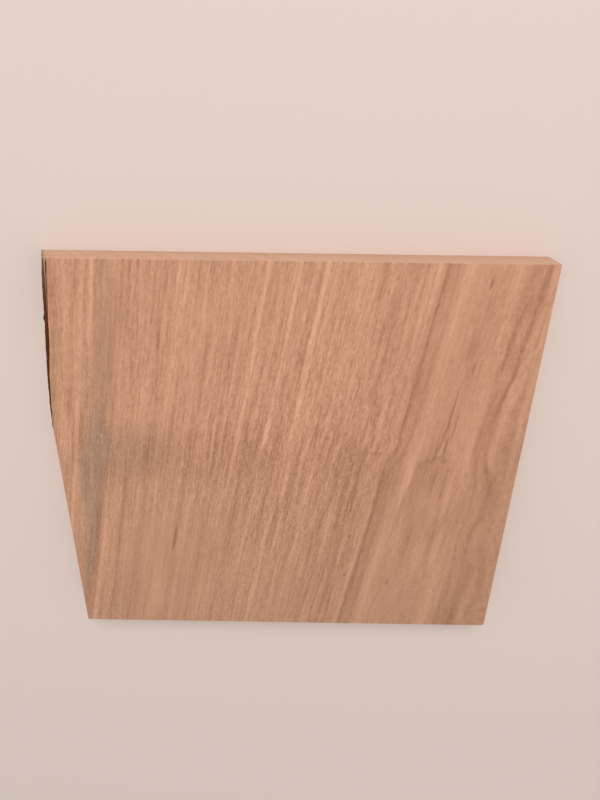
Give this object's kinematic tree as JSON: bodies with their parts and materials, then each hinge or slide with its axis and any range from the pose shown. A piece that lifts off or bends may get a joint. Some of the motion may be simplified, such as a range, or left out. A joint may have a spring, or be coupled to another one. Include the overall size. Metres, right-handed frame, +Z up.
{
  "type": "hardwood offcut",
  "caption": "Short flat offcut of planed hardwood board, nearly square, with a wedge of natural bark edge at one corner.",
  "frame": {"origin": "middle of the underside's outline, on the surface that the board lies on", "axes": "+Z up through the thickness to the planed face, +X across the grain from the natural edge to the right-hand sawn edge, +Y along the grain to the end with the natural corner"},
  "size_m": [0.303, 0.274, 0.02],
  "materials": {
    "planed_hardwood": "planed, unfinished",
    "bark": "rough"
  },
  "bodies": {
    "root": {"board": "planed_hardwood"}
  },
  "joints": []
}
